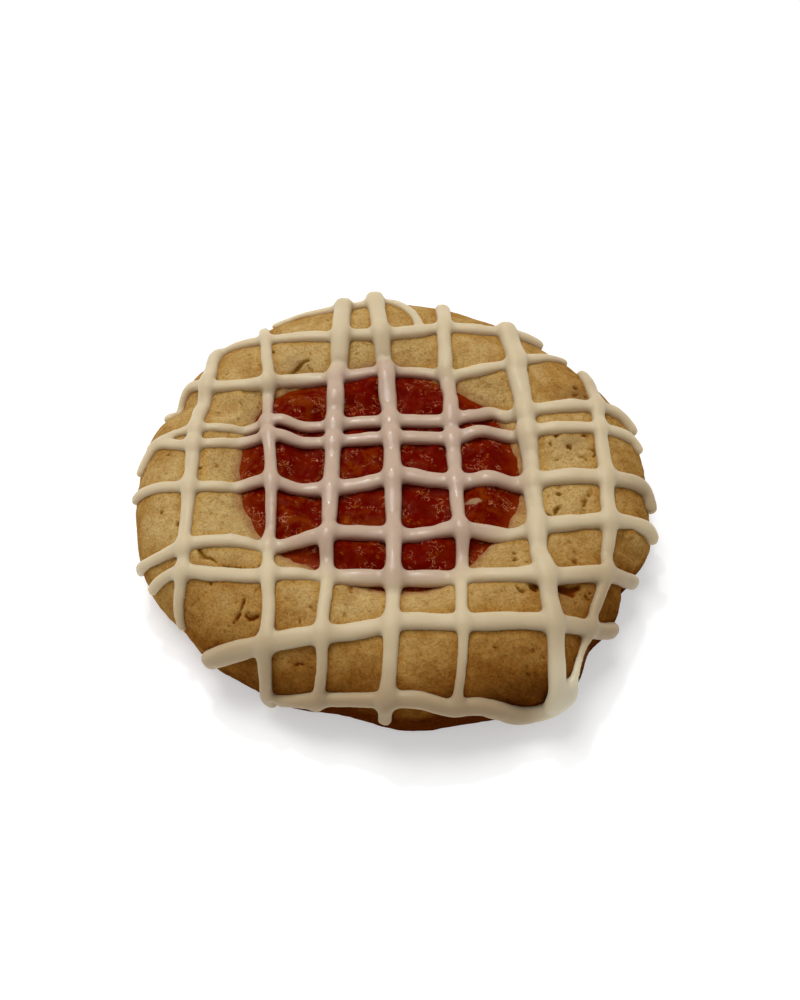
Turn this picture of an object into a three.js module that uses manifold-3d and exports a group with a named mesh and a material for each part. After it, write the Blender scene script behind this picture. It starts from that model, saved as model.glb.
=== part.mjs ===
// A linzer cookie: one thick round of short dough with a pressed well of fruit jam, under a lattice
// of piped icing. Millimetres, +Z up. It rests on Z = 0, its front is towards -Y, and the origin is
// under the middle of its bounding box.
//
// Two solids: "cookie" is the baked dough with the icing fused to it, and "jam" fills the well.

import * as THREE from "three";
import { mergeVertices } from "three/addons/utils/BufferGeometryUtils.js";
import Module from "manifold-3d";

const wasm = await Module();
wasm.setup();

// ---- Driving dimensions (mm, degrees) ------------------------------------------------------------

const DOUGH = {
  radius: 40, // mean radius in plan, at the widest level
  crest: 13.4, // height of the raised ring round the well
  widest: 5.5, // height at which the side stands out furthest
  shoulder: 12, // width in plan of the rounded edge
  roundness: 2.3, // superellipse power of that edge: 2 is a circle, more is squarer
  footInset: 1.6, // how far the side draws in again at the base
  footRound: 0.98, // how much of a full quarter round that is
};

// The plan outline wanders: a few broad lobes (times round, amount, direction of the first one) and
// some local swells and dents (direction, amount, half width). Direction 0 is +X, 90 is the back.
const OUTLINE_LOBES = [
  { times: 2, amount: 0.7, at: -36 },
  { times: 3, amount: 0.4, at: -38 },
  { times: 4, amount: 0.4, at: 26 },
  { times: 5, amount: 0.55, at: 10 },
];
const OUTLINE_SWELLS = [
  { at: -24, amount: -0.8, width: 2.5 },
  { at: -30.5, amount: -1.2, width: 3.5 },
  { at: -46, amount: -1, width: 5 },
  { at: -18, amount: 1.1, width: 7 },
  { at: -57, amount: 1.9, width: 8 },
  { at: -87, amount: 1.1, width: 9 },
  { at: -110, amount: 0.9, width: 7 },
  { at: -139, amount: -1.0, width: 7 },
  { at: 159, amount: -2.4, width: 6 },
];

const WELL = {
  x: -1.8, // middle of the pressed well
  y: -1.8,
  radius: 21.3,
  slope: 8, // width of the slope from the crest ring down to the jam
  drop: 2.4, // fall over that slope
  wall: 1.3, // height of the upright wall below the jam's edge
  wallFoot: 0.985, // radius at the foot of that wall, as a share of the radius at its top
  floor: 6.5, // height of the bottom of the well
};
// The jam was spread further out in places, mostly towards the back.
const WELL_LOBES = [
  { times: 2, amount: 0.5, at: -40 },
  { times: 3, amount: 0.3, at: 54 },
  { times: 5, amount: 0.3, at: 0 },
];
const WELL_SWELLS = [
  { at: -22, amount: 0.5, width: 18 },
  { at: 36, amount: 1.1, width: 16 },
  { at: 90, amount: 2.0, width: 16 },
  { at: 138, amount: 1.6, width: 15 },
];

const JAM = {
  gap: 0.35, // clear space between jam and dough
  edge: -0.1, // level of its edge against the dough there
  ring: 1.4, // height of the swollen ring a little way in from the edge
  ringInset: 4.8,
  ringWidth: 2.6,
  middle: 0.4, // extra height of the middle
  lumps: 0.3, // height of the fruit pieces
  lumpSize: 3.1, // their spacing
  wallFoot: 0.975, // radius low on its side, as a share of the radius at its edge
};

// Slow swells of a hand-shaped surface: height, turn for each millimetre along X and Y, and start.
const UNEVENNESS = [
  { height: 0.22, alongX: 0.21, alongY: 0.13, start: 0.6 },
  { height: 0.18, alongX: -0.29, alongY: 0.17, start: 2.1 },
];
// The fruit pieces are where two slanting rows of waves meet: turn for each spacing along X and Y.
const LUMP_ROWS = [
  { alongX: 0.43, alongY: 0.31, start: 0 },
  { alongX: 0.27, alongY: -0.49, start: 1 },
];

const ICING = {
  heightRatio: 0.6, // height of a strand against its width
  sink: 0.25, // how deep its underside beds into the dough
  clearance: 0.45, // how far it clears the highest fruit pieces where it bridges the jam
  bridgeStart: 3, // distance from the jam at which it starts to lift off the dough
  bridgeFull: 0.5, // distance from the jam at which it is fully clear
  ride: 0.55, // rise over a strand below, as a share of that strand's height
  rideReach: 0.85, // length of that rise either side, as a share of its width
  tip: 0.3, // length of a strand's rounded end, as a share of its width
  tipFullness: 0.72, // width there, as a share of the full width
  slopeReach: 0.8, // distance over which the bed's slope is taken
};

// Every strand: its width at the start, middle and end, and the points it is piped through. They
// are plan coordinates from the dough's middle as if the rounded edge were rolled out flat, so a
// point beyond the shoulder lies down the side. The cross strands go on first, from left to right.
const CROSS_STRANDS = [
  {
    width: [1.3, 1.8, 1.7],
    path: [
      [-20.7, 31], [-17.2, 33.2], [-12.6, 32.8], [-8.6, 33.4], [-4.5, 34.9], [-1.2, 37],
      [1.7, 34.2], [4, 30.5], [4.7, 28.4],
    ],
  },
  {
    width: [1.8, 2.2, 2.3],
    path: [[-29, 26.3], [-21, 25.1], [-6, 26.4], [8, 27.8], [16, 26.7], [25.6, 27.4]],
  },
  {
    width: [1.8, 2.5, 1.7],
    path: [
      [-36.7, 10.4], [-36.9, 15.6], [-33.4, 17], [-27, 14.6], [-18.2, 17.4], [-7.9, 17.6], [5, 19.7],
      [11, 18.2], [20.2, 19.3], [29.7, 23.1],
    ],
  },
  {
    width: [1.4, 2.2, 2.4],
    path: [
      [-38.2, 3.5], [-33.2, 4.5], [-23.9, 6.1], [-19, 7.4], [-14, 6.8], [-5, 7.8], [12.2, 8.1],
      [16, 10.3], [20, 9.1], [29, 9.2], [36, 9.5], [39.5, 7.9],
    ],
  },
  {
    width: [1.7, 2.3, 2.0],
    path: [
      [-39.9, -0.9], [-35.7, 3], [-30, 1.7], [-23.9, 3.4], [-19, 4], [-14, 3.5], [-5, 4.2],
      [10, 4.2], [16, 5.5], [21, 5], [31, 4.7], [37.5, 4.5], [39.4, 3.3],
    ],
  },
  {
    width: [1.6, 2.6, 2.4],
    path: [
      [-40.2, -5.7], [-34, -5.6], [-27, -6.5], [-20, -5], [-15, -5.9], [-4.8, -5.1], [1.5, -3.5],
      [6, -4.2], [15, -4.9], [22, -4.9], [31, -4.6], [38.5, -4.8], [40.8, -7.3],
    ],
  },
  {
    width: [1.7, 2.5, 2.3],
    path: [
      [-40.2, -18.4], [-32.3, -17.5], [-26, -15.9], [-19, -16.5], [-12, -15.7], [-3, -14.3],
      [4, -14.5], [13, -14.2], [19, -14.7], [29, -12.1], [37.1, -11.9], [40.2, -12.9],
    ],
  },
  {
    width: [1.8, 2.5, 2.3],
    path: [
      [-35.7, -22.2], [-29, -19.9], [-23, -20.7], [-17, -22], [-4, -21.5], [8, -21.7], [18, -22.4],
      [28, -20.6], [34, -20.3], [40, -20],
    ],
  },
  {
    width: [2.9, 2.3, 2.5],
    path: [
      [-26.7, -33.9], [-21, -32.2], [-12.5, -30.5], [-1, -29.2], [12, -28.9], [24, -28.6], [30, -29],
      [34.4, -28.9],
    ],
  },
  {
    width: [2.1, 2.3, 3.1],
    path: [
      [-17, -41.2], [-12, -40.4], [0, -39.1], [3.5, -39], [8.5, -40.7], [12, -40.5], [20, -43.2],
      [23.9, -42.1], [24.9, -40], [24.3, -37.6],
    ],
  },
];

// The long strands go on top of those, from the back to the front.
const LONG_STRANDS = [
  {
    width: [2.5, 2.3, 1.5],
    path: [[-30.6, 26.6], [-29.1, 17], [-29.7, 4], [-28.5, -13], [-28.1, -20], [-31.5, -28.8]],
  },
  {
    width: [1.9, 1.9, 1.8],
    path: [
      [-21.8, 29], [-20.7, 25], [-20.5, 16], [-19, 4], [-17.3, -12], [-17.5, -18], [-15.6, -27],
      [-17, -36.5], [-20.5, -43.6],
    ],
  },
  {
    width: [3.3, 2.4, 1.4],
    path: [[-8.2, 33.6], [-8.9, 20.5], [-9, -10], [-8.7, -28], [-8.8, -35], [-10.8, -42]],
  },
  {
    width: [3.1, 2.6, 1.9],
    path: [[-3.1, 36.6], [-1.2, 20], [0, 6], [0.4, -8], [0.4, -28], [0, -36], [-0.6, -44]],
  },
  {
    width: [2.6, 2.2, 1.3],
    path: [[8.6, 33.8], [9.2, 20], [9.8, -3], [10.1, -20], [9.1, -35], [8.8, -41]],
  },
  {
    width: [3.3, 2.8, 2.1],
    path: [[18.7, 27], [21.2, 13], [21.8, -2], [20.8, -22], [21.5, -34], [23.1, -41]],
  },
  {
    width: [2.1, 2.1, 1.0],
    path: [[31.9, 19.8], [31.5, 8.5], [31.1, -5], [29.7, -18], [27.1, -27.9], [24.2, -37]],
  },
];

// How finely the surfaces are cut into flat faces.
const MESH = {
  spokes: 60,
  bottomRings: [0.5, 0.85], // shares of the radius, in the well's bottom and the jam's underside
  topRings: 3,
  shoulderRings: 4,
  shoulderSteps: 64, // for measuring the shoulder's length
  sideRing: 0.6, // share of the way from the widest level down to the base
  jamRings: 7,
  crossingStep: 0.8,
  strandTolerance: 0.18,
  longestStep: 7,
  mergeWithin: 1e-4,
};

// A strand's section, in half widths across and half heights up from its middle: a pointed dome on
// a flat.
const STRAND_SECTION = [[0.85, -1], [0.95, 0.1], [0, 1], [-0.95, 0.1], [-0.85, -1]];

// From the dough's middle to the middle of the whole part's bounding box.
const MIDDLE = { x: 0.2, y: -0.1 };

const COLOURS = { dough: 0xc9a468, jam: 0x9c2a10 };

// ---- Shape of the dough and the jam --------------------------------------------------------------

const radians = THREE.MathUtils.degToRad;
const clamp01 = (value) => THREE.MathUtils.clamp(value, 0, 1);

// A radius with broad lobes and local swells, in the direction of an angle.
function wanderingRadius(radius, lobes, swells, angle) {
  const fullTurn = 2 * Math.PI;
  for (const { times, amount, at } of lobes) {
    radius += amount * Math.cos(times * (angle - radians(at)));
  }
  for (const { at, amount, width } of swells) {
    const turn = THREE.MathUtils.euclideanModulo(angle - radians(at) + Math.PI, fullTurn) - Math.PI;
    radius += amount * Math.exp(-((turn / radians(width)) ** 2));
  }
  return radius;
}

const outlineRadius = (angle) => wanderingRadius(DOUGH.radius, OUTLINE_LOBES, OUTLINE_SWELLS, angle);
const wellRadius = (angle) => wanderingRadius(WELL.radius, WELL_LOBES, WELL_SWELLS, angle);

// How far a plan point lies outside the jam's edge; negative inside.
function beyondWell(x, y) {
  return Math.hypot(x - WELL.x, y - WELL.y) - wellRadius(Math.atan2(y - WELL.y, x - WELL.x));
}

const wave = ({ alongX, alongY, start }, x, y) => Math.sin(alongX * x + alongY * y + start);

function unevenness(x, y) {
  return UNEVENNESS.reduce((sum, swell) => sum + swell.height * wave(swell, x, y), 0);
}

function doughTop(x, y) {
  const towardsWell = clamp01(1 - beyondWell(x, y) / WELL.slope);
  return DOUGH.crest - WELL.drop * towardsWell ** 2 + unevenness(x, y);
}

// The jam's smooth form, and the same with the fruit pieces in it.
function jamForm(x, y) {
  const inset = -beyondWell(x, y);
  const edge = DOUGH.crest - WELL.drop + JAM.edge + unevenness(x, y);
  const ring = JAM.ring * Math.exp(-(((inset - JAM.ringInset) / JAM.ringWidth) ** 2));
  return edge + ring + JAM.middle * clamp01(inset / WELL.slope);
}

function jamTop(x, y) {
  const pitch = (2 * Math.PI) / JAM.lumpSize;
  const lumps = LUMP_ROWS.reduce((product, row) => product * wave(row, pitch * x, pitch * y), 1);
  return jamForm(x, y) + JAM.lumps * lumps * clamp01(-beyondWell(x, y) / JAM.ringInset);
}

// The rounded edge, from the top (0) to the widest level (1): how far out, and how far up.
function shoulderCurve(share) {
  const quarter = (clamp01(share) * Math.PI) / 2;
  const power = 2 / DOUGH.roundness;
  return { out: Math.sin(quarter) ** power, up: Math.cos(quarter) ** power };
}

const SHOULDER_LENGTH = (() => {
  const steps = MESH.shoulderSteps;
  let length = 0;
  for (let i = 0; i < steps; i++) {
    const from = shoulderCurve(i / steps);
    const to = shoulderCurve((i + 1) / steps);
    const width = DOUGH.shoulder * (to.out - from.out);
    length += Math.hypot(width, (DOUGH.crest - DOUGH.widest) * (to.up - from.up));
  }
  return length;
})();

// A rolled-out plan point as a point of the skin. `top` gives the height inside the shoulder.
function skin(x, y, top) {
  const along = Math.hypot(x, y);
  const angle = Math.atan2(y, x);
  const radius = outlineRadius(angle);
  const flat = radius - DOUGH.shoulder;
  if (along <= flat) return new THREE.Vector3(x, y, top(x, y));
  const [cos, sin] = [Math.cos(angle), Math.sin(angle)];
  const down = (along - flat - SHOULDER_LENGTH) / DOUGH.widest;
  if (down > 0) {
    const drawnIn = 1 - Math.sqrt(1 - DOUGH.footRound * Math.min(down, 1) ** 2);
    const inset = DOUGH.footInset * drawnIn;
    return new THREE.Vector3((radius - inset) * cos, (radius - inset) * sin, DOUGH.widest * (1 - down));
  }
  const { out, up } = shoulderCurve((along - flat) / SHOULDER_LENGTH);
  const reach = flat + DOUGH.shoulder * out;
  const rise = top(flat * cos, flat * sin) - DOUGH.widest;
  return new THREE.Vector3(reach * cos, reach * sin, DOUGH.widest + rise * up);
}

// ---- Solids --------------------------------------------------------------------------------------

function solid(vertices, triangles) {
  const coordinates = vertices.flatMap((vertex) => vertex.toArray());
  const geometry = new THREE.BufferGeometry();
  geometry.setAttribute("position", new THREE.Float32BufferAttribute(coordinates, 3));
  geometry.setIndex(triangles.flat());
  const merged = mergeVertices(geometry, MESH.mergeWithin);
  const vertProperties = merged.attributes.position.array;
  const triVerts = new Uint32Array(merged.index.array);
  return new wasm.Manifold(new wasm.Mesh({ numProp: 3, vertProperties, triVerts }));
}

// A closed skin of rings with the same number of points, and a single point at each end.
function ringSolid(first, rings, last) {
  const count = rings[0].length;
  const vertices = [first, ...rings.flat(), last];
  const triangles = [];
  for (let k = 0; k < count; k++) {
    const next = (k + 1) % count;
    triangles.push([0, 1 + k, 1 + next]);
    for (let r = 0; r + 1 < rings.length; r++) {
      const [inner, outer] = [1 + r * count, 1 + (r + 1) * count];
      triangles.push([inner + k, outer + k, outer + next], [inner + k, outer + next, inner + next]);
    }
    const rim = 1 + (rings.length - 1) * count;
    triangles.push([rim + k, vertices.length - 1, rim + next]);
  }
  return solid(vertices, triangles);
}

const spokes = Array.from({ length: MESH.spokes }, (_, k) => (2 * Math.PI * k) / MESH.spokes);

// A ring of the well at a share of its radius, drawn in by an inset.
function wellRing(share, inset, height) {
  return spokes.map((angle) => {
    const radius = (wellRadius(angle) - inset) * share;
    const [x, y] = [WELL.x + radius * Math.cos(angle), WELL.y + radius * Math.sin(angle)];
    return new THREE.Vector3(x, y, height(x, y, share));
  });
}

// The well's bottom: level in the middle, rising to the foot of the wall. Its lift is the gap
// that the jam keeps.
function wellBottom(lift) {
  return (x, y, share) => {
    const foot = DOUGH.crest - WELL.drop - WELL.wall;
    return WELL.floor + (foot - WELL.floor) * share ** 4 + lift;
  };
}

function doughBody() {
  const bottom = wellBottom(0);
  const rings = [...MESH.bottomRings, WELL.wallFoot].map((share) => wellRing(share, 0, bottom));
  const rim = wellRing(1, 0, doughTop);
  for (let r = 0; r <= MESH.topRings; r++) {
    const share = r / MESH.topRings;
    rings.push(rim.map((point, k) => {
      const flat = outlineRadius(spokes[k]) - DOUGH.shoulder;
      const x = THREE.MathUtils.lerp(point.x, flat * Math.cos(spokes[k]), share);
      const y = THREE.MathUtils.lerp(point.y, flat * Math.sin(spokes[k]), share);
      return new THREE.Vector3(x, y, doughTop(x, y));
    }));
  }
  const beyondFlat = [];
  for (let r = 1; r <= MESH.shoulderRings; r++) {
    beyondFlat.push((SHOULDER_LENGTH * r) / MESH.shoulderRings);
  }
  beyondFlat.push(SHOULDER_LENGTH + MESH.sideRing * DOUGH.widest, SHOULDER_LENGTH + DOUGH.widest);
  for (const extra of beyondFlat) {
    rings.push(spokes.map((angle) => {
      const along = outlineRadius(angle) - DOUGH.shoulder + extra;
      return skin(along * Math.cos(angle), along * Math.sin(angle), doughTop);
    }));
  }
  return ringSolid(new THREE.Vector3(WELL.x, WELL.y, WELL.floor), rings, new THREE.Vector3(0, 0, 0));
}

function jamBody() {
  const rings = [];
  for (let r = 1; r <= MESH.jamRings; r++) {
    const share = Math.sin((r / MESH.jamRings) * (Math.PI / 2)); // closer together near the edge
    rings.push(wellRing(share, JAM.gap, jamTop));
  }
  const underside = wellBottom(JAM.gap);
  for (const share of [JAM.wallFoot, ...MESH.bottomRings.toReversed()]) {
    rings.push(wellRing(share, JAM.gap, underside));
  }
  const top = new THREE.Vector3(WELL.x, WELL.y, jamTop(WELL.x, WELL.y));
  return ringSolid(top, rings, new THREE.Vector3(WELL.x, WELL.y, WELL.floor + JAM.gap));
}

// ---- Icing ---------------------------------------------------------------------------------------

function strandCurve({ path }) {
  const points = path.map(([x, y]) => new THREE.Vector3(x, y, 0));
  return new THREE.CatmullRomCurve3(points, false, "centripetal");
}

function strandWidth([start, middle, end], share) {
  const { lerp } = THREE.MathUtils;
  return share < 0.5 ? lerp(start, middle, 2 * share) : lerp(middle, end, 2 * share - 1);
}

// Close points of all the cross strands, which the long strands then pass over.
const crossed = CROSS_STRANDS.flatMap((strand) => {
  const curve = strandCurve(strand);
  const steps = Math.round(curve.getLength() / MESH.crossingStep);
  const width = (i) => strandWidth(strand.width, i / steps);
  return curve.getSpacedPoints(steps).map(({ x, y }, i) => ({ x, y, width: width(i) }));
});

function riseOver(others, x, y) {
  return others.reduce((highest, other) => {
    const away = Math.hypot(x - other.x, y - other.y) / (ICING.rideReach * other.width);
    return Math.max(highest, ICING.ride * ICING.heightRatio * other.width * Math.exp(-(away ** 2)));
  }, 0);
}

// What a strand lies on: a little under the dough's surface, or clear above the jam.
function bedTop(x, y) {
  const share = THREE.MathUtils.smoothstep(-beyondWell(x, y), -ICING.bridgeStart, -ICING.bridgeFull);
  const bridge = jamForm(x, y) + JAM.lumps + ICING.clearance;
  return THREE.MathUtils.lerp(doughTop(x, y) - ICING.sink, bridge, share);
}

const bed = ({ x, y }) => skin(x, y, bedTop);

// The bed's outward normal at a plan point, at right angles to the strand's run.
function bedNormal({ x, y }, run) {
  const reach = ICING.slopeReach;
  const across = skin(x + reach, y, bedTop).sub(skin(x - reach, y, bedTop));
  const back = skin(x, y + reach, bedTop).sub(skin(x, y - reach, bedTop));
  return across.cross(back).projectOnPlane(run).normalize();
}

// Places along a run of points that are enough to keep every other point within the tolerance.
function neededPlaces(points, from, to) {
  const chord = new THREE.Line3(points[from], points[to]);
  const nearest = new THREE.Vector3();
  let worst = { place: from, away: 0 };
  for (let place = from + 1; place < to; place++) {
    const away = chord.closestPointToPoint(points[place], true, nearest).distanceTo(points[place]);
    if (away > worst.away) worst = { place, away };
  }
  if (worst.away < MESH.strandTolerance && to - from < MESH.longestStep) return [from];
  const middle = worst.away < MESH.strandTolerance ? Math.round((from + to) / 2) : worst.place;
  return [...neededPlaces(points, from, middle), ...neededPlaces(points, middle, to)];
}

function strandSolid(strand, others) {
  const curve = strandCurve(strand);
  const length = curve.getLength();
  const frame = (along) => {
    const place = (distance) => curve.getPointAt(THREE.MathUtils.clamp(distance / length, 0, 1));
    const point = place(along);
    const run = bed(place(along + ICING.slopeReach)).sub(bed(place(along - ICING.slopeReach))).normalize();
    const up = bedNormal(point, run);
    const width = strandWidth(strand.width, along / length);
    const height = ICING.heightRatio * width;
    const middle = bed(point).addScaledVector(up, height / 2 + riseOver(others, point.x, point.y));
    return { middle, up, side: run.clone().cross(up), width, height };
  };
  const section = (along, fullness) => {
    const { middle, up, side, width, height } = frame(along);
    return STRAND_SECTION.map(([across, above]) => middle.clone()
      .addScaledVector(side, (fullness * width * across) / 2)
      .addScaledVector(up, (fullness * height * above) / 2));
  };
  const tip = (end) => ICING.tip * strand.width[end];
  const last = length - tip(2);
  const fine = Array.from({ length: Math.ceil(last - tip(0)) + 1 }, (_, i) => Math.min(tip(0) + i, last));
  const kept = neededPlaces(fine.map((along) => frame(along).middle), 0, fine.length - 1).slice(1);
  const rings = [
    section(fine[0], ICING.tipFullness),
    ...kept.map((place) => section(fine[place], 1)),
    section(last, ICING.tipFullness),
  ];
  return ringSolid(frame(0).middle, rings, frame(length).middle);
}

function icedDough() {
  const cross = CROSS_STRANDS.map((strand) => strandSolid(strand, []));
  const long = LONG_STRANDS.map((strand) => strandSolid(strand, crossed));
  return [...cross, ...long].reduce((whole, strand) => whole.add(strand), doughBody());
}

// ---- Part ----------------------------------------------------------------------------------------

function node(name, body, material) {
  const { vertProperties, triVerts } = body.getMesh();
  const geometry = new THREE.BufferGeometry();
  geometry.setAttribute("position", new THREE.BufferAttribute(vertProperties, 3));
  geometry.setIndex(new THREE.BufferAttribute(triVerts, 1));
  geometry.computeVertexNormals();
  const mesh = new THREE.Mesh(geometry, new THREE.MeshStandardMaterial(material));
  mesh.name = name;
  return mesh;
}

const cookie = new THREE.Group();
cookie.add(node("cookie", icedDough(), { color: COLOURS.dough, roughness: 0.85, metalness: 0 }));
cookie.add(node("jam", jamBody(), { color: COLOURS.jam, roughness: 0.2, metalness: 0 }));
cookie.position.set(-MIDDLE.x, -MIDDLE.y, 0);

export default cookie;
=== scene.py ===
"""A linzer cookie: sandy baked dough, glossy fruit jam in its pressed well and a lattice of piped icing.

Shapes are worked out in millimetres from the dough's middle, with +Z up and the front towards -Y,
and are turned into metres in the part's frame when a mesh is made.
"""

import math

import bpy
import numpy as np
import openvdb
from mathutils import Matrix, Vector


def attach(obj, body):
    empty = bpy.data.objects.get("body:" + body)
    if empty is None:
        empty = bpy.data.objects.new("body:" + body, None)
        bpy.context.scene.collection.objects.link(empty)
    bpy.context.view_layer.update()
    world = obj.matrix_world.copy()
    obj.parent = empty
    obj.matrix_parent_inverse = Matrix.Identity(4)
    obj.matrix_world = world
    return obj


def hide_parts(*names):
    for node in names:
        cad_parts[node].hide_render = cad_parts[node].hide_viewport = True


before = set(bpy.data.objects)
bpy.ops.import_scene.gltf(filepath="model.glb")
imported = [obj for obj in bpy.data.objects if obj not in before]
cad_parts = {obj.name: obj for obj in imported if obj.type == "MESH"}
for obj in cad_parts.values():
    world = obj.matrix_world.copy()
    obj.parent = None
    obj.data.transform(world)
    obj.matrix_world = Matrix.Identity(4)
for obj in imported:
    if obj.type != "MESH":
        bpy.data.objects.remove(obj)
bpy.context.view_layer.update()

# ---- Driving dimensions (mm, degrees), as in the part's source ----

MM = 0.001
MIDDLE = (0.2, -0.1)  # from the dough's middle to the middle of the whole part's box

DOUGH = {
    "radius": 40.0,
    "crest": 13.4,
    "widest": 5.5,
    "shoulder": 12.0,
    "roundness": 2.3,
    "foot_inset": 1.6,
    "foot_round": 0.98,
}
# Broad lobes of the outline: times round, amount, direction of the first one.
OUTLINE_LOBES = [(2, 0.7, -36), (3, 0.4, -38), (4, 0.4, 26), (5, 0.55, 10)]
# Local swells and dents of the outline: direction, amount, half width.
OUTLINE_SWELLS = [
    (-24, -0.8, 2.5),
    (-30.5, -1.2, 3.5),
    (-46, -1.0, 5),
    (-18, 1.1, 7),
    (-57, 1.9, 8),
    (-87, 1.1, 9),
    (-110, 0.9, 7),
    (-139, -1.0, 7),
    (159, -2.4, 6),
]
WELL = {"x": -1.8, "y": -1.8, "radius": 21.3, "slope": 8.0, "drop": 2.4, "wall": 1.3, "floor": 6.5}
WELL_LOBES = [(2, 0.5, -40), (3, 0.3, 54), (5, 0.3, 0)]
# The jam was spread further out in places, mostly towards the back.
WELL_SWELLS = [(-22, 0.5, 18), (36, 1.1, 16), (90, 2.0, 16), (138, 1.6, 15)]
RAGGED = [(3.2, 0.35), (1.3, 0.2)]  # length and reach of the small tongues along the jam's edge
JAM = {
    "edge": -0.1,
    "ring": 1.4,
    "ring_inset": 4.8,
    "ring_width": 2.6,
    "middle": 0.4,
    "lumps": 0.3,
    "lump_size": 3.1,
    "overlap": 0.15,  # how far it laps into the wall of the well
}
# Slow swells of a hand-shaped surface: height, turn for each millimetre along X and Y, and start.
UNEVENNESS = [(0.22, 0.21, 0.13, 0.6), (0.18, -0.29, 0.17, 2.1)]
# The fruit pieces are where two slanting rows of waves meet: turn along X and Y, and start.
LUMP_ROWS = [(0.43, 0.31, 0.0), (0.27, -0.49, 1.0)]
ICING = {
    "height_ratio": 0.6,
    "belly": 0.26,  # height of its widest level, as a share of its height
    "undercut": 0.6,  # half height of the section below that level, as a share of its height
    "roundness": 2.6,  # superellipse power of the section: 2 is an ellipse, more is flatter on top
    "sink": 0.25,  # how deep it beds into the dough
    "jam_lift": 0.1,  # how far it stands above the jam's form, on the fruit pieces
    "bridge_start": 3.0,  # outside the jam's edge, where a strand starts to leave the dough
    "bridge_full": 0.5,  # and where it has the height of the jam
    "ride": 0.5,  # how far a long strand rises over a cross strand, as a share of that one's height
    "ride_reach": 0.85,  # as a share of that one's width
    "slope_reach": 0.8,  # half the length over which the bed's slope is taken
    "fillet": 0.9,  # reach of the fillets where strands flow together
    "unevenness": [(3.5, 0.1), (1.6, 0.06)],  # size and share of the wobbles in a strand's width
    "smoothing": 2,  # rounds of smoothing of the icing's mesh
}
ICING_BOX = [(-43.0, -44.0, -1.0), (45.0, 43.0, 18.0)]  # corners of the room that the icing may take

# Where the last strand turns round, the icing lies thick: it is paler there, and the painted shade on the
# icing is left off it.
THICK_ICING = {"radius": 6.0, "place": (25.5, -38.5)}
JAM_TINT_AND_BOUNCE = 2.5  # the icing's pink, the jam's tint with painted red bounce light, begins and is full this far outside and inside the jam's edge
LOW_ICING = (1.2, 0.1)  # height above the dough or jam where the icing's low part begins and is full; over the jam it gets darker painted shade

# Seeds of the noise. Where there are several layers or strands, they count on from their seed.
SEEDS = {
    "ragged": 7,
    "pores": 7,
    "hollows": 8,
    "grain": 17,
    "jam": 37,
    "crumb": 47,
    "cross_strands": 57,
    "long_strands": 87,
}

# Strands: width at the start, middle and end, and the rolled-out plan points that they pass.
CROSS_STRANDS = [
    ((1.3, 1.8, 1.7), [
        (-20.7, 31), (-17.2, 33.2), (-12.6, 32.8), (-8.6, 33.4), (-4.5, 34.9), (-1.2, 37), (1.7, 34.2),
        (4, 30.5), (4.7, 28.4),
    ]),
    ((1.8, 2.2, 2.3), [(-29, 26.3), (-21, 25.1), (-6, 26.4), (8, 27.8), (16, 26.7), (25.6, 27.4)]),
    ((1.8, 2.5, 1.7), [
        (-36.7, 10.4), (-36.9, 15.6), (-33.4, 17), (-27, 14.6), (-18.2, 17.4), (-7.9, 17.6), (5, 19.7),
        (11, 18.2), (20.2, 19.3), (29.7, 23.1),
    ]),
    ((1.4, 2.2, 2.4), [
        (-38.2, 3.5), (-33.2, 4.5), (-23.9, 6.1), (-19, 7.4), (-14, 6.8), (-5, 7.8), (12.2, 8.1),
        (16, 10.3), (20, 9.1), (29, 9.2), (36, 9.5), (39.5, 7.9),
    ]),
    ((1.7, 2.3, 2.0), [
        (-39.9, -0.9), (-35.7, 3), (-30, 1.7), (-23.9, 3.4), (-19, 4), (-14, 3.5), (-5, 4.2), (10, 4.2),
        (16, 5.5), (21, 5), (31, 4.7), (37.5, 4.5), (39.4, 3.3),
    ]),
    ((1.6, 2.6, 2.4), [
        (-40.2, -5.7), (-34, -5.6), (-27, -6.5), (-20, -5), (-15, -5.9), (-4.8, -5.1), (1.5, -3.5),
        (6, -4.2), (15, -4.9), (22, -4.9), (31, -4.6), (38.5, -4.8), (40.8, -7.3),
    ]),
    ((1.7, 2.5, 2.3), [
        (-40.2, -18.4), (-32.3, -17.5), (-26, -15.9), (-19, -16.5), (-12, -15.7), (-3, -14.3),
        (4, -14.5), (13, -14.2), (19, -14.7), (29, -12.1), (37.1, -11.9), (40.2, -12.9),
    ]),
    ((1.8, 2.5, 2.3), [
        (-35.7, -22.2), (-29, -19.9), (-23, -20.7), (-17, -22), (-4, -21.5), (8, -21.7), (18, -22.4),
        (28, -20.6), (34, -20.3), (40, -20),
    ]),
    ((2.9, 2.3, 2.5), [
        (-26.7, -33.9), (-21, -32.2), (-12.5, -30.5), (-1, -29.2), (12, -28.9), (24, -28.6), (30, -29),
        (34.4, -28.9),
    ]),
    ((2.1, 2.3, 3.1), [
        (-17, -41.2), (-12, -40.4), (0, -39.1), (3.5, -39), (8.5, -40.7), (12, -40.5), (20, -43.2),
        (23.9, -42.1), (24.9, -40), (24.3, -37.6),
    ]),
]
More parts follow.
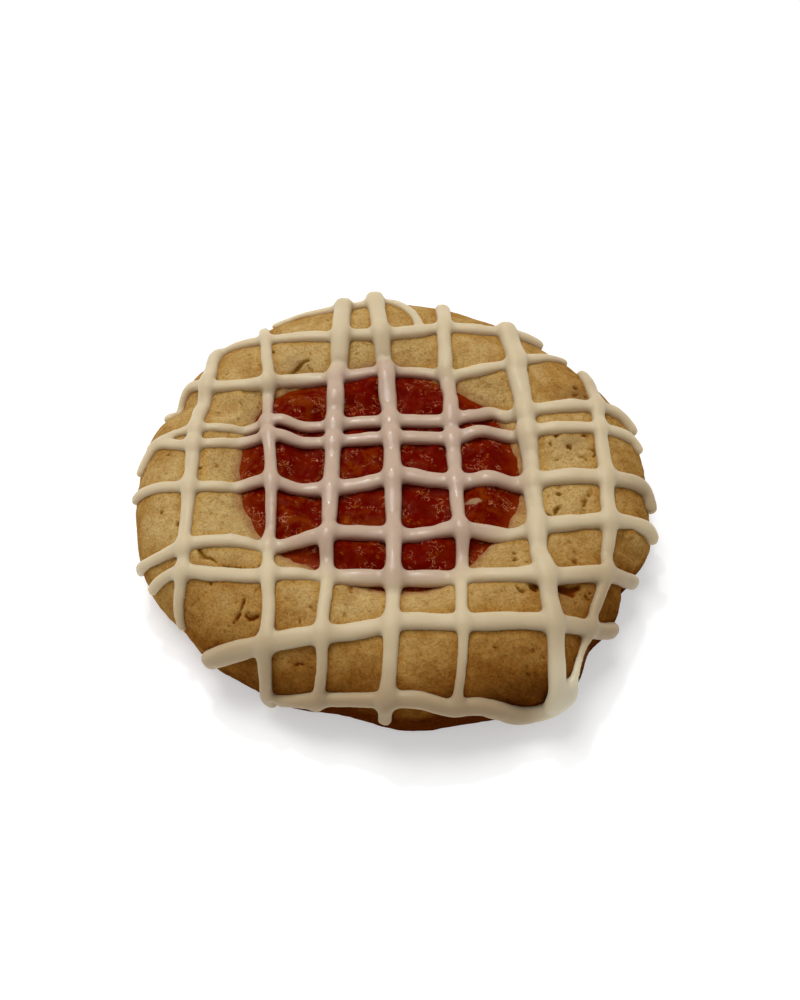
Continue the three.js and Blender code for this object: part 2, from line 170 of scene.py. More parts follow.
LONG_STRANDS = [
    ((2.5, 2.3, 1.5), [
        (-30.6, 26.6), (-29.1, 17), (-29.7, 4), (-28.5, -13), (-28.1, -20), (-31.5, -28.8),
    ]),
    ((1.9, 1.9, 1.8), [
        (-21.8, 29), (-20.7, 25), (-20.5, 16), (-19, 4), (-17.3, -12), (-17.5, -18), (-15.6, -27),
        (-17, -36.5), (-20.5, -43.6),
    ]),
    ((3.3, 2.4, 1.4), [(-8.2, 33.6), (-8.9, 20.5), (-9, -10), (-8.7, -28), (-8.8, -35), (-10.8, -42)]),
    ((3.1, 2.6, 1.9), [(-3.1, 36.6), (-1.2, 20), (0, 6), (0.4, -8), (0.4, -28), (0, -36), (-0.6, -44)]),
    ((2.6, 2.2, 1.3), [(8.6, 33.8), (9.2, 20), (9.8, -3), (10.1, -20), (9.1, -35), (8.8, -41)]),
    ((3.3, 2.8, 2.1), [(18.7, 27), (21.2, 13), (21.8, -2), (20.8, -22), (21.5, -34), (23.1, -41)]),
    ((2.1, 2.1, 1.0), [(31.9, 19.8), (31.5, 8.5), (31.1, -5), (29.7, -18), (27.1, -27.9), (24.2, -37)]),
]

# ---- Relief and colour of the dough ----

# Cracks: depth, half width and the rolled-out plan points of each.
CRACKS = [
    (0.6, 0.34, [(-26.2, -16.8), (-25.8, -17.5), (-25.2, -18.1), (-24.2, -18.5)]),
    (0.4, 0.2, [(-24.9, -18.2), (-23.3, -19), (-22.2, -19.6), (-21.3, -19.8), (-20.5, -20)]),
    (0.5, 0.2, [(-20.5, -27.9), (-20.1, -27.5), (-19.7, -26.8), (-19.5, -26.1), (-19.1, -24.7)]),
    (0.35, 0.18, [(-19.5, -26.7), (-18.8, -26.9), (-18.3, -26.7)]),
    (0.7, 0.3, [(-18.8, -27.1), (-18.1, -27.6), (-17.6, -27.5), (-17, -27.2)]),
    (0.25, 0.2, [(-17.8, -23.8), (-17.4, -23.3), (-17.0, -23.9)]),
    (0.35, 0.18, [(-10.5, -26.6), (-10, -27), (-9.4, -27.1)]),
    (0.3, 0.18, [(-11.7, -28), (-11.5, -28.6)]),
    (0.35, 0.18, [(-12.4, -34.4), (-11.7, -34), (-10.9, -34.3), (-9.8, -34.5)]),
    (0.55, 0.35, [(-14, 21), (-14.8, 20.6), (-15.3, 20), (-16, 19.2), (-16.8, 18.2)]),
    (0.3, 0.25, [(-17.3, 17.4), (-17.7, 16.5), (-17.1, 16.4)]),
    (0.2, 0.25, [(-14, 19.9), (-13.5, 19.3), (-13.2, 18.7)]),
    (0.5, 0.22, [(30.4, 1.5), (30.4, 0.2), (30.3, -0.7)]),
    (0.3, 0.2, [(29, -0.7), (29.3, -1.6)]),
    (0.6, 0.3, [(24, -11.4), (24.2, -10.6), (24.6, -10)]),
    (0.35, 0.22, [(29.3, -6.5), (28.7, -8.1), (28.1, -9.2), (27.9, -10.1), (27.5, -11.3)]),
    (0.25, 0.18, [(24.2, -16.5), (24.8, -15.9), (25.2, -16.4)]),
    (0.5, 0.28, [(17.3, -24), (17.6, -24.7), (18.1, -24.9), (18.5, -24.6)]),
    (0.9, 0.5, [(22, -23.1), (22.9, -23.4), (23.8, -23.5), (25.1, -23)]),
    (0.35, 0.2, [(26, -23.9), (26.8, -24.6)]),
    (0.45, 0.22, [(21.7, -23.8), (21.9, -24.6)]),
]
# Single pits: depth, radius and rolled-out plan point.
PITS = [
    (0.4, 0.3, (-18.9, -20.4)), (0.35, 0.28, (-18.2, -20.3)), (0.3, 0.25, (-18.5, -20.9)),
    (0.3, 0.3, (-26, -24)), (0.25, 0.3, (-25.6, -26.4)), (0.25, 0.3, (-22.1, -29.1)),
    (0.3, 0.3, (-11, -32)), (0.25, 0.25, (-24, -22)), (0.45, 0.28, (-32.8, -10.1)),
    (0.35, 0.28, (-29.7, -12.5)), (0.25, 0.25, (-33, -16.6)), (0.25, 0.25, (-29.3, -17.2)),
    (0.35, 0.3, (-29.4, -19.2)), (0.4, 0.28, (-13.7, 22.2)), (0.25, 0.25, (-12.5, 18.4)),
    (0.35, 0.25, (-11.5, 18.5)), (0.4, 0.3, (-19.6, 22.5)), (0.4, 0.35, (25.7, 3.5)),
    (0.35, 0.4, (24.7, 2.1)), (0.6, 0.42, (27.4, 1.2)), (0.55, 0.4, (29.4, 3.3)),
    (0.3, 0.35, (25.3, -1.2)), (0.25, 0.2, (28.7, -0.8)), (0.5, 0.35, (25, -7.7)),
    (0.75, 0.6, (22.8, -11.9)), (0.35, 0.25, (17.5, -18.2)), (0.35, 0.3, (17.3, -19.4)),
    (0.25, 0.2, (19.4, -19)), (0.25, 0.2, (19, -20)), (0.3, 0.3, (25.1, -19)),
    (0.5, 0.4, (22.4, -20.5)), (0.6, 0.55, (19.5, -23.9)), (0.5, 0.4, (24.1, -24)),
    (0.45, 0.3, (26.8, -23.5)), (0.35, 0.3, (13.4, -32)), (0.35, 0.3, (18.2, -32.4)),
    (0.35, 0.3, (19.8, -33.3)), (0.35, 0.3, (18, -35.7)), (0.4, 0.35, (16.6, -40.2)),
    (0.35, 0.3, (-26.6, 17.7)), (0.35, 0.3, (-27, 9.6)), (0.3, 0.3, (-21.7, 11.8)),
    (0.3, 0.3, (-28.5, -2.6)), (0.35, 0.3, (29.1, 14.1)), (0.35, 0.35, (28.7, 12)),
    (0.4, 0.35, (29.3, 12.5)), (0.35, 0.3, (29, 10.9)), (0.3, 0.3, (30.3, 12.1)),
    (0.3, 0.25, (28.8, 9.8)), (0.4, 0.3, (25.6, 15.5)), (0.3, 0.3, (24.9, 10.1)),
]
# Edges where one layer of dough stands above the next: rise, reach back from the edge, and the
# rolled-out plan points of the edge, with the raised side on its left.
LEDGES = [
    (0.4, 3.0, [(-20, -20), (-22.2, -19.6), (-24.2, -18.5), (-25.8, -17.5), (-26.6, -16.2)]),
    (0.3, 3.0, [(27.5, -11.3), (28.1, -9.2), (29.3, -6.5)]),
    (0.5, 3.0, [(40, -17.6), (38.9, -15.6), (37.1, -14.2), (35.3, -13.2), (34, -11.8)]),
]
# Patches where moist dough stayed grey: radius and plan point.
STAINS = [
    (2.2, (-15.8, 19.3)), (1.6, (-17.3, 17)), (2.4, (29.3, 12)), (1.8, (27.5, 2)), (1.6, (23, -23.6)),
]

# Browning from the oven down the rounded edge, and painted shade on the front and right side, turned from
# the light. Each band says where something begins and where it is full.
BROWNING_AND_SHADE = {
    "edge": 0.66,  # share of it down the rounded edge
    "edge_start": -4,  # outwards from the shoulder's inner end
    "painted_side_shade": 0.3,  # share of painted shade on the top of the front and right side
    "side": 0.24,  # share of painted shade on the upright part of that side
    "side_band": (-3, 2),  # outwards from the shoulder's outer end
    "direction": -68,
    "towards": (8, 42),  # from the middle in that direction
    "least": 0.6,  # share that is left on the other side, and beside the well
    "well_band": (2, 9),  # outwards from the well
}
# Places that browned more than that, or less: amount, radius and rolled-out plan point.
BROWN_SPOTS = [
    (0.3, 8, (30, 15)), (0.2, 7, (37, -6)), (0.2, 8, (-24, -28)), (0.14, 10, (12, 29)),
    (0.12, 7, (-27, 21)), (-0.12, 8, (-25, -11)), (-0.1, 7, (4, -35)), (-0.4, 5, (39, -15)),
]

HOLLOWS = {
    "wobble_size": 0.6,
    "wobble": 0.25,  # how far the edges of cracks and pits wander
    "narrow_end": 0.45,  # width of a crack's ends, as a share of its middle's
    "dark_depth": 0.4,  # a hollow this deep gets as much painted shade as the deepest one
}
# The step across a ledge's edge, where its crest is full, and the share of its length where it fades.
LEDGE = {"step": (-0.15, 0.25), "crest": 0.5, "ends": 0.15}
CONTACT_SHADE_REACH = 0.9  # how far the painted contact shade reaches beside a strand
JUICE_REACH = 1.8  # how far the jam wets the dough beside it
FOOT_RELIEF = 1.2  # height above the foot where the dough's relief is full

CRUMB = [(3.4, 0.1), (1.5, 0.08), (0.8, 0.06)]  # size and height of the grain, coarse to fine
PORES = {"count": 170, "radius": (0.14, 0.3), "depth": (0.08, 0.26)}

# ---- Relief and colour of the jam ----

JAM_RELIEF = [(2.4, 0.13), (1.1, 0.06)]  # size and height of its small lumps
JAM_RELIEF_FULL = 1.5  # how far inside its edge that relief is full
THIN_JAM = 2.2  # how far inside its edge the jam is thin enough to look lighter
# Spots where the jam lies thin and looks orange: radius and plan point.
AMBER_SPOTS = [
    (4.0, (-14.5, 12.5)), (3.5, (14.5, -8.5)), (4.0, (-20, -3)), (3.0, (-5, 0)), (3.5, (-14, -8)),
    (3.5, (-5, -13)), (3.0, (-14, -13)),
]

# A crumb of dough that lies in the jam.
PALE_CRUMB = {"size": (2.3, 1.4), "place": (12.3, -8.8), "blur": 0.15, "wobble": 0.3, "wobble_size": 0.5}

# How finely the surfaces are cut: numbers of rings, spokes and samples, and steps in mm.
FINENESS = {
    "shoulder_samples": 65,
    "spokes": 900,
    "top_rings": 24,
    "shoulder_rings": 52,
    "side_rings": 18,
    "jam_spokes": 480,
    "jam_rings": 84,
    "voxel": 0.32,
    "curve_samples": 40,
    "strand_step": 0.3,
    "crossed_step": 0.8,
    "soaked_step": 1.5,
}
# Hidden rings, as shares of the way from the middle to the edge.
BOWL_RINGS = (0.5, 0.85, 0.985)
JAM_UNDER_RINGS = (0.97, 0.8, 0.4)
BOWL_POWER = 4  # how late the bowl rises on the way to its edge
JAM_SKIRT = 1.0  # how far the jam's underside starts below its edge
END_SAMPLES = 2  # left out at each end of a strand, where its run isn't smooth

# ---- Numbers and noise ----

NOISE_TABLE = 64  # the noise repeats after this many cells


def smoothstep(low, high, value):
    share = np.clip((value - low) / (high - low), 0, 1)
    return share * share * (3 - 2 * share)


def lerp(first, second, share):
    return first + (second - first) * share


def spot(x, y, radius, place):
    """1 in the middle of a soft round spot, falling to nothing beyond its radius."""
    return np.exp(-(((x - place[0]) ** 2 + (y - place[1]) ** 2) / radius**2))


def spots_cover(x, y, spots):
    """Cover of several soft round spots, given by radius and place."""
    return np.max([spot(x, y, radius, place) for radius, place in spots], axis=0)


def value_noise(points, size, seed):
    """Smooth noise from -1 to 1 that changes over about `size`."""
    table = np.random.default_rng(seed).uniform(-1, 1, (NOISE_TABLE,) * 3)
    place = points / size
    cell = np.floor(place).astype(int)
    share = place - cell
    share = share * share * (3 - 2 * share)
    total = np.zeros(points.shape[:-1])
    for corner in np.ndindex(2, 2, 2):
        weight = np.prod(np.where(corner, share, 1 - share), axis=-1)
        i, j, k = np.moveaxis((cell + corner) % NOISE_TABLE, -1, 0)
        total += weight * table[i, j, k]
    return total


def layered_noise(points, layers, seed):
    """The sum of several noises, given by size and height."""
    return sum(height * value_noise(points, size, seed + i) for i, (size, height) in enumerate(layers))


# ---- Shape of the dough and the jam ----


def wandering_radius(radius, lobes, swells, angle):
    """A radius with broad lobes and local swells, in the direction of an angle."""
    for times, amount, at in lobes:
        radius = radius + amount * np.cos(times * (angle - math.radians(at)))
    for at, amount, width in swells:
        turn = (angle - math.radians(at) + math.pi) % (2 * math.pi) - math.pi
        radius = radius + amount * np.exp(-((turn / math.radians(width)) ** 2))
    return radius


def outline_radius(angle):
    return wandering_radius(DOUGH["radius"], OUTLINE_LOBES, OUTLINE_SWELLS, angle)


def well_radius(angle):
    smooth = wandering_radius(WELL["radius"], WELL_LOBES, WELL_SWELLS, angle)
    edge = WELL["radius"] * np.stack([np.cos(angle), np.sin(angle), np.zeros(np.shape(angle))], axis=-1)
    return smooth + sum(reach * value_noise(edge, length, SEEDS["ragged"]) for length, reach in RAGGED)


def from_well(angle, reach):
    """X and Y of the plan points that lie in a direction from the well's middle."""
    return WELL["x"] + reach * np.cos(angle), WELL["y"] + reach * np.sin(angle)


def beyond_well(x, y):
    """How far a plan point lies outside the jam's edge; negative inside."""
    across, along = x - WELL["x"], y - WELL["y"]
    return np.hypot(across, along) - well_radius(np.arctan2(along, across))


def unevenness(x, y):
    return sum(height * np.sin(along * x + back * y + start) for height, along, back, start in UNEVENNESS)


def dough_top(x, y):
    towards_well = np.clip(1 - beyond_well(x, y) / WELL["slope"], 0, 1)
    return DOUGH["crest"] - WELL["drop"] * towards_well**2 + unevenness(x, y)


def jam_form(x, y):
    inset = -beyond_well(x, y)
    edge = DOUGH["crest"] - WELL["drop"] + JAM["edge"] + unevenness(x, y)
    ring = JAM["ring"] * np.exp(-(((inset - JAM["ring_inset"]) / JAM["ring_width"]) ** 2))
    return edge + ring + JAM["middle"] * np.clip(inset / WELL["slope"], 0, 1)


def jam_top(x, y):
    pitch = 2 * math.pi / JAM["lump_size"]
    lumps = math.prod(np.sin(pitch * (along * x + back * y) + start) for along, back, start in LUMP_ROWS)
    inside = np.clip(-beyond_well(x, y) / JAM["ring_inset"], 0, 1)
    return jam_form(x, y) + JAM["lumps"] * lumps * inside


def shoulder_curve(share):
    """The rounded edge, from the top (0) to the widest level (1): how far out, and how far up."""
    quarter = np.clip(share, 0, 1) * math.pi / 2
    power = 2 / DOUGH["roundness"]
    return np.sin(quarter) ** power, np.cos(quarter) ** power


def shoulder_length():
    out, up = shoulder_curve(np.linspace(0, 1, FINENESS["shoulder_samples"]))
    rise = DOUGH["crest"] - DOUGH["widest"]
    return np.hypot(DOUGH["shoulder"] * np.diff(out), rise * np.diff(up)).sum()


SHOULDER_LENGTH = shoulder_length()


def skin(x, y, top):
    """Rolled-out plan points as points of the skin. `top` gives the height inside the shoulder."""
    along = np.hypot(x, y)
    angle = np.arctan2(y, x)
    cos, sin = np.cos(angle), np.sin(angle)
    radius = outline_radius(angle)
    flat = radius - DOUGH["shoulder"]
    out, up = shoulder_curve((along - flat) / SHOULDER_LENGTH)
    reach = flat + DOUGH["shoulder"] * out
    height = DOUGH["widest"] + (top(flat * cos, flat * sin) - DOUGH["widest"]) * up
    down = np.clip((along - flat - SHOULDER_LENGTH) / DOUGH["widest"], 0, 1)
    side_reach = radius - DOUGH["foot_inset"] * (1 - np.sqrt(1 - DOUGH["foot_round"] * down**2))
    reach = np.where(down > 0, side_reach, reach)
    height = np.where(down > 0, DOUGH["widest"] * (1 - down), height)
    inside = along <= flat
    return np.stack(
        [
            np.where(inside, x, reach * cos),
            np.where(inside, y, reach * sin),
            np.where(inside, top(x, y), height),
        ],
        axis=-1,
    )


# ---- Meshes ----


def in_part_frame(points):
    return (points - np.array([MIDDLE[0], MIDDLE[1], 0.0])) * MM


def mesh_piece(name, points, faces, material, attributes):
    """A smooth mesh piece from millimetre points, with one named number a vertex for each attribute."""
    mesh = bpy.data.meshes.new(name)
    mesh.from_pydata(in_part_frame(points).tolist(), [], faces)
    mesh.polygons.foreach_set("use_smooth", np.ones(len(mesh.polygons), bool))
    for attribute, values in attributes.items():
        layer = mesh.attributes.new(attribute, "FLOAT", "POINT")
        layer.data.foreach_set("value", np.asarray(values, np.float32).ravel())
    mesh.validate()
    piece = bpy.data.objects.new(name, mesh)
    bpy.context.scene.collection.objects.link(piece)
    piece.data.materials.append(material)
    return piece


def spoke_angles(spokes):
    """Directions of the spokes of a ring."""
    return np.linspace(0, 2 * math.pi, spokes, endpoint=False)


def bowl_rings(radius, shares, edge_height):
    """Hidden rings of the well's bowl at shares of a radius, rising to a height at its edge."""
    angle = spoke_angles(len(radius))
    rings = []
    for share in shares:
        x, y = from_well(angle, radius * share)
        height = lerp(WELL["floor"], edge_height, share**BOWL_POWER)
        rings.append(np.stack([x, y, np.full(x.shape, height)], axis=-1))
    return rings


def ring_faces(rings, spokes):
    """Faces of a closed skin: a point, rings of points outwards and down, and a point."""
    k = np.arange(spokes)
    following = (k + 1) % spokes
    faces = np.stack([np.zeros(spokes, int), 1 + k, 1 + following], axis=-1).tolist()
    for ring in range(rings - 1):
        inner = 1 + ring * spokes
        outer = inner + spokes
        faces += np.stack([inner + k, outer + k, outer + following, inner + following], axis=-1).tolist()
    rim = 1 + (rings - 1) * spokes
    last = 1 + rings * spokes
    faces += np.stack([rim + k, np.full(spokes, last), rim + following], axis=-1).tolist()
    return faces


def closed_piece(name, first, grid, last, shown, material, attributes):
    """A closed piece: a point, a grid of rings and a point. The attributes cover the shown rings."""
    rings, spokes = grid.shape[:2]
    points = np.vstack([first, grid.reshape(-1, 3), last])
    whole = {}
    for attribute, values in attributes.items():
        padded = np.zeros((rings, spokes))
        padded[shown] = values
        whole[attribute] = np.concatenate([[0], padded.ravel(), [0]])
    return mesh_piece(name, points, ring_faces(rings, spokes), material, whole)


def grid_normals(points):
    """Outward normals of a (rings, spokes, 3) grid that is closed round each ring."""
    outwards = np.gradient(points, axis=0)
    around = np.roll(points, -1, axis=1) - np.roll(points, 1, axis=1)
    normals = np.cross(outwards, around)
    return normals / np.maximum(np.linalg.norm(normals, axis=-1, keepdims=True), 1e-9)


# ---- Dough ----


def dough_plan():
    """Rolled-out plan points of the dough's visible skin, from the well's rim to the foot."""
    angle = spoke_angles(FINENESS["spokes"])
    outwards = np.stack([np.cos(angle), np.sin(angle)], axis=-1)
    rim = np.stack(from_well(angle, well_radius(angle)), axis=-1)
    flat = outline_radius(angle) - DOUGH["shoulder"]
    edge = flat[:, None] * outwards
    top = [lerp(rim, edge, share) for share in np.linspace(0, 1, FINENESS["top_rings"], endpoint=False)]
    shoulder = np.linspace(0, SHOULDER_LENGTH, FINENESS["shoulder_rings"], endpoint=False)
    side = SHOULDER_LENGTH + np.linspace(0, DOUGH["widest"], FINENESS["side_rings"])
    beyond = [(flat + extra)[:, None] * outwards for extra in [*shoulder, *side]]
    return np.array([*top, *beyond])


def away_from_path(plan, path):
    """Distance from each plan point to a path, and how far along it the nearest place is (0 to 1)."""
    path = np.array(path, float)
    nearest = np.full(plan.shape[:-1], np.inf)
    share = np.zeros(plan.shape[:-1])
    for i, (start, end) in enumerate(zip(path, path[1:])):
        run = end - start
        along = np.clip(((plan - start) @ run) / (run @ run), 0, 1)
        distance = np.linalg.norm(plan - start - along[..., None] * run, axis=-1)
        closer = distance < nearest
        nearest = np.where(closer, distance, nearest)
        share = np.where(closer, (i + along) / (len(path) - 1), share)
    return nearest, share


def scattered_pits(plan):
    """Small pores all over: depth, radius and place, drawn once from the seed."""
    random = np.random.default_rng(SEEDS["pores"])
    rings, spokes = plan.shape[:2]
    for _ in range(PORES["count"]):
        place = plan[random.integers(rings), random.integers(spokes)]
        yield random.uniform(*PORES["depth"]), random.uniform(*PORES["radius"]), place


def dough_hollows(plan):
    """Depth of the cracks and pits, and how much painted shade each point gets for lying in one (0 to 1).
    """
    depth = np.zeros(plan.shape[:-1])
    level = np.dstack([plan, depth])
    wobble = HOLLOWS["wobble"] * value_noise(level, HOLLOWS["wobble_size"], SEEDS["hollows"])
    for crack_depth, half_width, path in CRACKS:
        away, share = away_from_path(plan, path)
        fullness = np.sin(math.pi * np.clip(share, 0.05, 0.95)) ** 0.5
        width = half_width * lerp(HOLLOWS["narrow_end"], 1, fullness)
        profile = np.exp(-(((away + 0.5 * wobble) / width) ** 2))
        depth = np.maximum(depth, crack_depth * profile)
    for pit_depth, radius, place in [*PITS, *scattered_pits(plan)]:
        away = np.linalg.norm(plan - np.array(place), axis=-1)
        profile = np.exp(-((np.maximum(away + wobble, 0) / radius) ** 4))
        depth = np.maximum(depth, pit_depth * profile)
    return depth, np.clip(depth / HOLLOWS["dark_depth"], 0, 1)


def ledge_rise(plan):
    """Height of the layers that end at a ledge: full along its edge and falling away behind it."""
    rise = np.zeros(plan.shape[:-1])
    for amount, reach, path in LEDGES:
        path = np.array(path, float)
        away, share = away_from_path(plan, path)
        place = share * (len(path) - 1)
        at = np.minimum(place.astype(int), len(path) - 2)
        start, run = path[at], path[at + 1] - path[at]
        off = plan - start
        left = run[..., 0] * off[..., 1] - run[..., 1] * off[..., 0]
        behind = np.where(left > 0, away, -away)
        profile = smoothstep(*LEDGE["step"], behind) * smoothstep(reach, LEDGE["crest"], behind)
        ends = smoothstep(0, LEDGE["ends"], share) * smoothstep(1, 1 - LEDGE["ends"], share)
        rise = np.maximum(rise, amount * profile * ends)
    return rise


def dough_browning_and_shade(x, y):
    """How far the oven browned the skin down the rounded edge, with painted shade added on the front and
    right and on the upright part of that side.
    """
    down = np.hypot(x, y) - outline_radius(np.arctan2(y, x)) + DOUGH["shoulder"]
    towards = math.radians(BROWNING_AND_SHADE["direction"])
    # Share of the side that gets painted shade: the front and right, turned from the light.
    shaded_side_share = smoothstep(*BROWNING_AND_SHADE["towards"], x * math.cos(towards) + y * math.sin(towards))
    off_well = smoothstep(*BROWNING_AND_SHADE["well_band"], beyond_well(x, y))
    edge = BROWNING_AND_SHADE["edge"] * smoothstep(BROWNING_AND_SHADE["edge_start"], SHOULDER_LENGTH + DOUGH["widest"], down)
    painted_side_shade = BROWNING_AND_SHADE["painted_side_shade"] * lerp(BROWNING_AND_SHADE["least"], 1, off_well)
    side = BROWNING_AND_SHADE["side"] * smoothstep(*BROWNING_AND_SHADE["side_band"], down - SHOULDER_LENGTH)
    spots = sum(amount * spot(x, y, radius, place) for amount, radius, place in BROWN_SPOTS)
    return edge * lerp(BROWNING_AND_SHADE["least"], 1, shaded_side_share) + (painted_side_shade + side) * shaded_side_share + spots


def painted_contact_shade(plan):
    """Painted contact shade beside the strands: full along a strand's edge, gone a little way off it."""
    contact_shade_share = np.zeros(plan.shape[:-1])
    for widths, path in [*CROSS_STRANDS, *LONG_STRANDS]:
        places, _ = smooth_path(path, FINENESS["soaked_step"])
        away, share = away_from_path(plan, places)
        beyond = away - strand_width(widths, share) / 2
        contact_shade_share = np.maximum(contact_shade_share, smoothstep(CONTACT_SHADE_REACH, 0, beyond))
    return contact_shade_share


def dough_piece(material):
    plan = dough_plan()
    x, y = plan[..., 0], plan[..., 1]
    base = skin(x, y, dough_top)
    grain = layered_noise(base, CRUMB, SEEDS["grain"])
    hollow, shade = dough_hollows(plan)
    relief = (grain + ledge_rise(plan) - hollow) * smoothstep(0, FOOT_RELIEF, base[..., 2])
    top = base + grid_normals(base) * relief[..., None]
    foot = DOUGH["crest"] - WELL["drop"] - WELL["wall"]
    bowl = bowl_rings(well_radius(spoke_angles(FINENESS["spokes"])), BOWL_RINGS, foot)
    attributes = {
        "browning_and_shade": dough_browning_and_shade(x, y),
        "hollow": shade,
        "stain": spots_cover(x, y, STAINS),
        "wet": smoothstep(JUICE_REACH, 0, beyond_well(x, y)),
        "painted_contact_shade": painted_contact_shade(plan),
    }
    middle = [WELL["x"], WELL["y"], WELL["floor"]]
    shown = slice(len(bowl), None)
    grid = np.concatenate([bowl, top])
    return closed_piece("baked_dough", middle, grid, [0, 0, 0], shown, material, attributes)


# ---- Jam ----


def pale_crumb(x, y, place):
    """Cover of the crumb of dough: 1 on it and 0 off it, with an uneven edge."""
    length, width = PALE_CRUMB["size"]
    middle = PALE_CRUMB["place"]
    off = np.hypot((x - middle[0]) / length, (y - middle[1]) / width) * 2
    off += PALE_CRUMB["wobble"] * value_noise(place, PALE_CRUMB["wobble_size"], SEEDS["crumb"])
    return smoothstep(1 + PALE_CRUMB["blur"], 1 - PALE_CRUMB["blur"], off)


def jam_piece(material):
    angle = spoke_angles(FINENESS["jam_spokes"])
    radius = well_radius(angle) + JAM["overlap"]
    share = np.sin(np.linspace(0, math.pi / 2, FINENESS["jam_rings"] + 1)[1:])[:, None]
    x, y = from_well(angle, radius * share)
    inset = np.clip(-beyond_well(x, y), 0, None)
    place = np.stack([x, y, jam_top(x, y)], axis=-1)
    relief = layered_noise(place, JAM_RELIEF, SEEDS["jam"]) * smoothstep(0, JAM_RELIEF_FULL, inset)
    height = place[..., 2] + relief
    top = np.stack([x, y, height], axis=-1)
    under = bowl_rings(radius, JAM_UNDER_RINGS, height[-1].min() - JAM_SKIRT)
    attributes = {
        "thin": smoothstep(THIN_JAM, 0, inset),
        "amber": spots_cover(x, y, AMBER_SPOTS),
        "crumb": pale_crumb(x, y, place),
    }
    middle = [WELL["x"], WELL["y"], height[0].mean()]
    lowest = [WELL["x"], WELL["y"], WELL["floor"]]
    shown = slice(0, len(top))
    grid = np.concatenate([top, under])
    return closed_piece("jam_filling", middle, grid, lowest, shown, material, attributes)


# ---- Icing ----


def smooth_path(points, step):
    """Evenly spaced places on the centripetal curve through the points, and their shares of its length."""
    points = np.array(points, float)
    padded = np.vstack([2 * points[0] - points[1], points, 2 * points[-1] - points[-2]])

    def mixed(first, second, t, start, end):
        return ((end - t) * first + (t - start) * second) / (end - start)

    pieces = []
    for corners in zip(padded, padded[1:], padded[2:], padded[3:]):
        gaps = [np.linalg.norm(b - a) ** 0.5 for a, b in zip(corners, corners[1:])]
        knots = np.concatenate([[0], np.cumsum(gaps)])
        t = np.linspace(knots[1], knots[2], FINENESS["curve_samples"], endpoint=False)[:, None]
        layer = [mixed(corners[i], corners[i + 1], t, knots[i], knots[i + 1]) for i in range(3)]
        layer = [mixed(layer[i], layer[i + 1], t, knots[i], knots[i + 2]) for i in range(2)]
        pieces.append(mixed(layer[0], layer[1], t, knots[1], knots[2]))
    dense = np.vstack([*pieces, points[-1:]])
    length = np.concatenate([[0], np.cumsum(np.linalg.norm(np.diff(dense, axis=0), axis=1))])
    along = np.linspace(0, length[-1], int(length[-1] / step) + 1)
    return np.stack([np.interp(along, length, dense[:, axis]) for axis in (0, 1)], -1), along / length[-1]


def strand_width(widths, share):
    return np.interp(share, [0, 0.5, 1], widths)


def bed_top(x, y):
    share = smoothstep(-ICING["bridge_start"], -ICING["bridge_full"], -beyond_well(x, y))
    return lerp(dough_top(x, y) - ICING["sink"], jam_form(x, y) + ICING["jam_lift"], share)


def unit(vectors):
    return vectors / np.linalg.norm(vectors, axis=-1, keepdims=True)


def crossed_places():
    """Places of all the cross strands with their widths, which the long strands pass over."""
    rows = []
    for widths, path in CROSS_STRANDS:
        places, share = smooth_path(path, FINENESS["crossed_step"])
        rows.append(np.column_stack([places, strand_width(widths, share)]))
    return np.vstack(rows)


def strand_frames(strand, others, seed):
    """For each sample of a strand: middle, side, up, run, half width and height."""
    widths, path = strand
    places, share = smooth_path(path, FINENESS["strand_step"])
    x, y = places.T
    bed = skin(x, y, bed_top)
    run = unit(np.gradient(bed, axis=0))
    reach = ICING["slope_reach"]
    across = skin(x + reach, y, bed_top) - skin(x - reach, y, bed_top)
    back = skin(x, y + reach, bed_top) - skin(x, y - reach, bed_top)
    up = np.cross(across, back)
    up = unit(up - (up * run).sum(-1, keepdims=True) * run)
    width = strand_width(widths, share) * (1 + layered_noise(bed, ICING["unevenness"], seed))
    rise = np.zeros(len(places))
    if len(others):
        away = np.linalg.norm(places[:, None] - others[None, :, :2], axis=-1)
        lift = ICING["ride"] * ICING["height_ratio"] * others[:, 2]
        rise = (lift * np.exp(-((away / (ICING["ride_reach"] * others[:, 2])) ** 2))).max(axis=1)
    height = ICING["height_ratio"] * width
    middle = bed + up * (ICING["belly"] * height + rise)[:, None]
    kept = slice(END_SAMPLES, len(places) - END_SAMPLES)
    return [values[kept] for values in (middle, np.cross(run, up), up, run, width / 2, height)]


def component(grid, way):
    """How far each place of a grid lies along a direction."""
    return sum(axis * part for axis, part in zip(grid, way))


def sample_distance(across, above, along, half, height):
    """Signed distance to one sample of a strand: a superellipsoid with its own underside."""
    half_height = height * np.where(above > 0, 1 - ICING["belly"], ICING["undercut"])
    extent = np.stack(np.broadcast_arrays(half, half_height, half))
    shares = np.abs([across, above, along]) / extent
    steep = shares ** (ICING["roundness"] - 1)
    size = (steep * shares).sum(axis=0) ** (1 / ICING["roundness"])
    slope = np.linalg.norm(steep / extent, axis=0) * size ** (1 - ICING["roundness"])
    return (size - 1) / np.maximum(slope, 1e-6)


